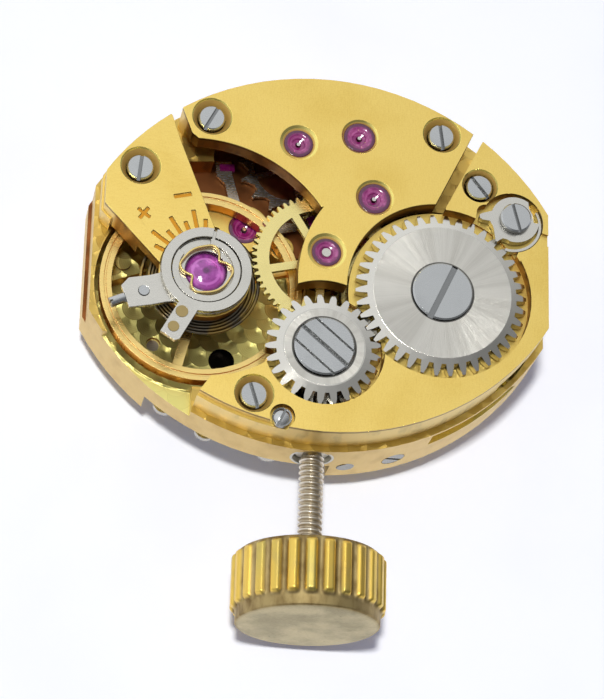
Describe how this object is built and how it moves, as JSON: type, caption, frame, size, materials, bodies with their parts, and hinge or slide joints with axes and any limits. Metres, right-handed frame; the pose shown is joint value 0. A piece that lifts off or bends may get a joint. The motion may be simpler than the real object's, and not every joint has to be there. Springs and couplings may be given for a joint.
{
  "type": "watch movement",
  "caption": "Small oval hand-wound watch movement with gilt bridges, visible winding wheels, balance and lever escapement, and its stem and crown.",
  "frame": {"origin": "on the centre arbor's axis, in the face of the main plate that the dial lies on", "axes": "+Z from the dial face to the bridges, +Y away from the winding crown, so that the stem runs along -Y"},
  "size_m": [0.0154, 0.0187, 0.0053],
  "materials": {
    "gilt_plate": "gilt, satin",
    "gilt_bridge": "gilt, fine satin",
    "steel": "polished steel",
    "steel_blue": "tempered spring steel",
    "ruby": "polished ruby",
    "wheel_gilt": "gilt, polished",
    "balance_gold": "gilt, polished",
    "crown_gold": "worn gold plate"
  },
  "bodies": {
    "movement": {"main_plate": "gilt_plate", "barrel_bridge": "gilt_bridge", "train_bridge": "gilt_bridge", "balance_cock": "gilt_bridge", "pallet_cock": "gilt_plate", "bridge_screws": "steel", "pallet_cock_screws": "steel", "dial_foot_screws": "steel", "train_jewels": "ruby", "plate_jewels": "ruby", "pallet_jewel": "ruby", "upper_setting": "steel", "lower_setting": "steel", "cap_jewels": "ruby", "lyre_springs": "wheel_gilt", "crown_wheel_screw": "steel", "click_screw": "steel", "click_spring": "wheel_gilt", "keyless_cover": "steel", "keyless_screws": "steel"},
    "winding_pinion": {"winding_pinion": "steel"},
    "stem": {"winding_stem": "steel", "crown": "crown_gold"},
    "clutch": {"sliding_pinion": "steel"},
    "crown_wheel": {"crown_wheel": "steel"},
    "ratchet": {"ratchet_wheel": "steel", "ratchet_screw": "steel", "barrel_arbor": "steel"},
    "setting_lever": {"setting_lever": "steel", "setting_lever_screw": "steel"},
    "yoke": {"yoke": "steel"},
    "click": {"click": "steel"},
    "balance": {"balance_wheel": "balance_gold", "balance_staff": "steel", "roller": "steel", "roller_jewel": "ruby"},
    "pallet_lever": {"pallet_fork": "steel", "pallet_stones": "ruby"},
    "escape": {"escape_wheel": "steel", "escape_pinion": "steel"},
    "fourth": {"fourth_wheel": "wheel_gilt", "fourth_pinion": "steel"},
    "third": {"third_wheel": "wheel_gilt", "third_pinion": "steel"},
    "centre": {"centre_wheel": "wheel_gilt", "centre_pinion": "steel"},
    "barrel": {"barrel_drum": "wheel_gilt", "barrel_cover": "wheel_gilt", "mainspring": "steel_blue"},
    "cannon": {"cannon_pinion": "steel"},
    "minute": {"minute_wheel": "wheel_gilt"},
    "hour": {"hour_wheel": "wheel_gilt"},
    "setting_wheel": {"setting_wheel": "wheel_gilt"},
    "regulator": {"regulator_index": "steel", "curb_pins": "wheel_gilt"},
    "stud_carrier": {"stud_carrier": "steel", "hairspring_stud": "steel", "stud_screw": "steel", "hairspring": "steel_blue"}
  },
  "joints": [
    {"name": "stem_turn", "type": "hinge", "parent": "movement", "child": "winding_pinion", "pos_m": [0, -0.005, 0.0016], "axis": [0, 1, 0], "continuous": true},
    {"name": "stem_pull", "type": "slide", "parent": "winding_pinion", "child": "stem", "axis": [0, -1, 0], "range_m": [0, 0.0005]},
    {"name": "clutch_slide", "type": "slide", "parent": "winding_pinion", "child": "clutch", "axis": [0, 1, 0], "range_m": [0, 0.00062]},
    {"name": "crown_wheel_turn", "type": "hinge", "parent": "movement", "child": "crown_wheel", "pos_m": [0, -0.00336, 0.003], "axis": [0, 0, 1], "continuous": true},
    {"name": "ratchet_turn", "type": "hinge", "parent": "movement", "child": "ratchet", "pos_m": [0.00387, -0.00111, 0.003], "axis": [0, 0, 1], "continuous": true},
    {"name": "setting_lever_turn", "type": "hinge", "parent": "movement", "child": "setting_lever", "pos_m": [-0.0013, -0.00588, 0.0006], "axis": [0, 0, 1], "range_deg": [-22.1, 0]},
    {"name": "yoke_turn", "type": "hinge", "parent": "movement", "child": "yoke", "pos_m": [-0.0024, -0.00389, 0.0008], "axis": [0, 0, 1], "range_deg": [0, 14.82]},
    {"name": "click_turn", "type": "hinge", "parent": "movement", "child": "click", "pos_m": [0.00633, 0.0018, 0.0034], "axis": [0, 0, 1], "range_deg": [-12, 0]},
    {"name": "balance_swing", "type": "hinge", "parent": "movement", "child": "balance", "pos_m": [-0.00396, -0.00111, 0.002], "axis": [0, 0, 1], "range_deg": [-270, 270]},
    {"name": "lever_swing", "type": "hinge", "parent": "movement", "child": "pallet_lever", "pos_m": [-0.00253, 0.00131, 0.0015], "axis": [0, 0, 1], "range_deg": [-5, 5]},
    {"name": "train_turn", "type": "hinge", "parent": "movement", "child": "fourth", "pos_m": [0.00102, 0.00428, 0.002], "axis": [0, 0, 1], "continuous": true},
    {"name": "escape_turn", "type": "hinge", "parent": "movement", "child": "escape", "pos_m": [-0.00103, 0.00384, 0.0015], "axis": [0, 0, 1], "continuous": true},
    {"name": "third_turn", "type": "hinge", "parent": "movement", "child": "third", "pos_m": [0.00156, 0.00209, 0.0013], "axis": [0, 0, 1], "continuous": true},
    {"name": "centre_turn", "type": "hinge", "parent": "movement", "child": "centre", "pos_m": [0, 0, 0.0027], "axis": [0, 0, 1], "continuous": true},
    {"name": "barrel_turn", "type": "hinge", "parent": "movement", "child": "barrel", "pos_m": [0.00387, -0.00111, 0.0016], "axis": [0, 0, 1], "continuous": true},
    {"name": "cannon_turn", "type": "hinge", "parent": "movement", "child": "cannon", "pos_m": [0, 0, 0], "axis": [0, 0, 1], "continuous": true},
    {"name": "minute_turn", "type": "hinge", "parent": "movement", "child": "minute", "pos_m": [0.0016, -0.00083, 0.0004], "axis": [0, 0, 1], "continuous": true},
    {"name": "hour_turn", "type": "hinge", "parent": "movement", "child": "hour", "pos_m": [0, 0, 0.0001], "axis": [0, 0, 1], "continuous": true},
    {"name": "setting_wheel_turn", "type": "hinge", "parent": "movement", "child": "setting_wheel", "pos_m": [0, -0.0022, 0.0005], "axis": [0, 0, 1], "continuous": true},
    {"name": "regulator_turn", "type": "hinge", "parent": "movement", "child": "regulator", "pos_m": [-0.00396, -0.00111, 0.0037], "axis": [0, 0, 1], "range_deg": [-10, 20]},
    {"name": "stud_turn", "type": "hinge", "parent": "movement", "child": "stud_carrier", "pos_m": [-0.00396, -0.00111, 0.0035], "axis": [0, 0, 1], "range_deg": [-5, 5]}
  ],
  "couplings": [
    {"joint": "crown_wheel_turn", "follows": "stem_turn", "ratio": 0.8},
    {"joint": "ratchet_turn", "follows": "stem_turn", "ratio": -0.52632},
    {"joint": "clutch_slide", "follows": "stem_pull", "ratio": 1.24},
    {"joint": "setting_lever_turn", "follows": "stem_pull", "rad_per_m": -771.44},
    {"joint": "yoke_turn", "follows": "stem_pull", "rad_per_m": 517.32},
    {"joint": "escape_turn", "follows": "train_turn", "ratio": -10},
    {"joint": "third_turn", "follows": "train_turn", "ratio": -0.125},
    {"joint": "centre_turn", "follows": "train_turn", "ratio": 0.016667},
    {"joint": "barrel_turn", "follows": "train_turn", "ratio": -0.0033333},
    {"joint": "cannon_turn", "follows": "train_turn", "ratio": 0.016667},
    {"joint": "minute_turn", "follows": "train_turn", "ratio": -0.0055556},
    {"joint": "hour_turn", "follows": "train_turn", "ratio": 0.0013889},
    {"joint": "setting_wheel_turn", "follows": "train_turn", "ratio": 0.01}
  ]
}
